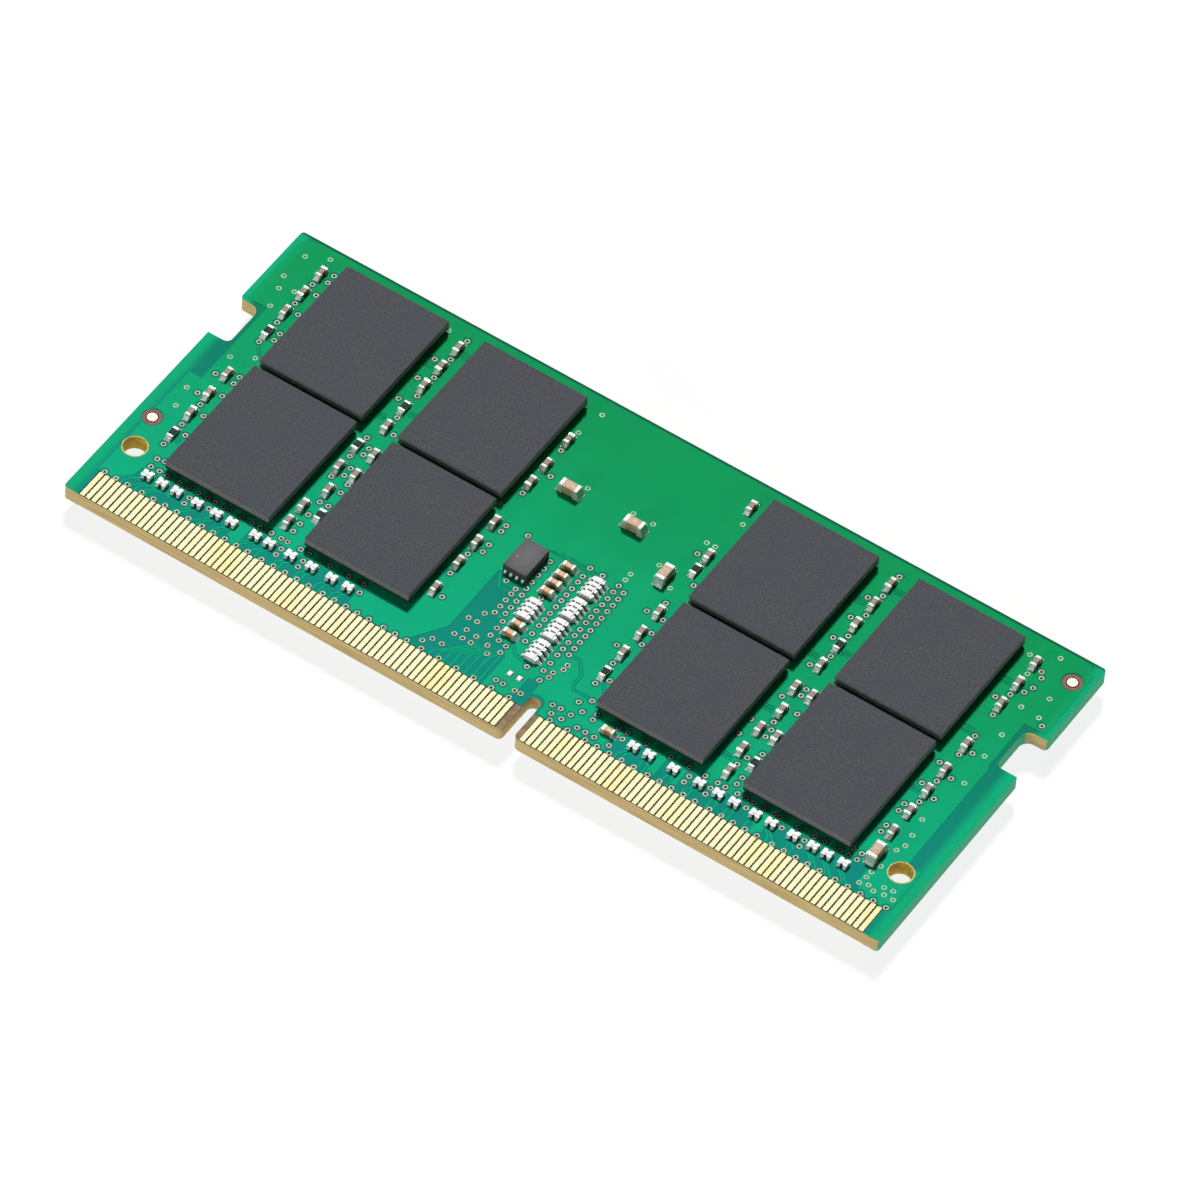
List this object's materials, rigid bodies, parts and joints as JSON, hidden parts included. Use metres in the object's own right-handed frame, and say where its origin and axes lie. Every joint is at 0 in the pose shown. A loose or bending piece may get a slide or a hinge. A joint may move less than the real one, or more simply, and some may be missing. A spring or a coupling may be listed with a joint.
{
  "type": "ram module",
  "caption": "Small-outline memory module: notched green board with a gold contact edge and key slot, flat black memory packages and small passives.",
  "frame": {"origin": "under the middle of the board, on the plane of the rear packages' outer faces, which the module rests on", "axes": "+X along the contact edge, from the 72-contact side to the 58-contact side; +Y from the contacts to the plain long edge; +Z out of the front face"},
  "size_m": [0.0696, 0.03, 0.0034],
  "materials": {
    "laminate": "glass-epoxy, routed edge, tan with fine glass layers",
    "solder_mask": "satin emerald green over copper, teal over bare laminate",
    "contact_gold": "pale hard gold, fine lengthwise grain",
    "land_metal": "tinned land",
    "solder": "reflowed solder, satin",
    "package_mould": "matt charcoal epoxy, fine grain",
    "package_substrate": "thin resin carrier, dark green",
    "silicon": "polished silicon",
    "attach_film": "adhesive film",
    "channel_potting": "potting compound",
    "capacitor_ceramic": "tan to grey-brown fired ceramic",
    "terminal_metal": "matt tin plating",
    "alumina": "white alumina",
    "black_overcoat": "printed black coat",
    "white_overcoat": "printed white coat"
  },
  "bodies": {
    "root": {"bond_channel_fills": "channel_potting", "component_lands_front": "land_metal", "component_lands_rear": "land_metal", "contacts_front": "contact_gold", "contacts_rear": "contact_gold", "die_attach_films": "attach_film", "dram_dies_front": "silicon", "dram_dies_rear": "silicon", "dram_mould_front_1": "package_mould", "dram_mould_front_2": "package_mould", "dram_mould_front_3": "package_mould", "dram_mould_front_4": "package_mould", "dram_mould_front_5": "package_mould", "dram_mould_front_6": "package_mould", "dram_mould_front_7": "package_mould", "dram_mould_front_8": "package_mould", "dram_mould_rear_1": "package_mould", "dram_mould_rear_2": "package_mould", "dram_mould_rear_3": "package_mould", "dram_mould_rear_4": "package_mould", "dram_mould_rear_5": "package_mould", "dram_mould_rear_6": "package_mould", "dram_mould_rear_7": "package_mould", "dram_mould_rear_8": "package_mould", "dram_solder_balls_front": "solder", "dram_solder_balls_rear": "solder", "dram_substrates_front": "package_substrate", "dram_substrates_rear": "package_substrate", "eeprom_body": "package_mould", "eeprom_die": "silicon", "eeprom_leads": "terminal_metal", "fiducial_dots": "contact_gold", "large_capacitor_ceramics": "capacitor_ceramic", "large_capacitor_terminals": "terminal_metal", "pcb_laminate": "laminate", "resistor_ceramics_front": "alumina", "resistor_ceramics_rear": "alumina", "resistor_overcoats_front": "black_overcoat", "resistor_overcoats_rear": "black_overcoat", "resistor_terminals_front": "terminal_metal", "resistor_terminals_rear": "terminal_metal", "series_array_ceramics_front": "alumina", "series_array_ceramics_rear": "alumina", "series_array_overcoats_front": "white_overcoat", "series_array_overcoats_rear": "white_overcoat", "series_array_terminals_front": "terminal_metal", "series_array_terminals_rear": "terminal_metal", "small_capacitor_ceramics_front": "capacitor_ceramic", "small_capacitor_ceramics_rear": "capacitor_ceramic", "small_capacitor_terminals_front": "terminal_metal", "small_capacitor_terminals_rear": "terminal_metal", "solder_fillets_front": "solder", "solder_fillets_rear": "solder", "solder_mask_front": "solder_mask", "solder_mask_rear": "solder_mask", "termination_array_ceramics": "alumina", "termination_array_overcoats": "white_overcoat", "termination_array_terminals": "terminal_metal"}
  },
  "joints": []
}
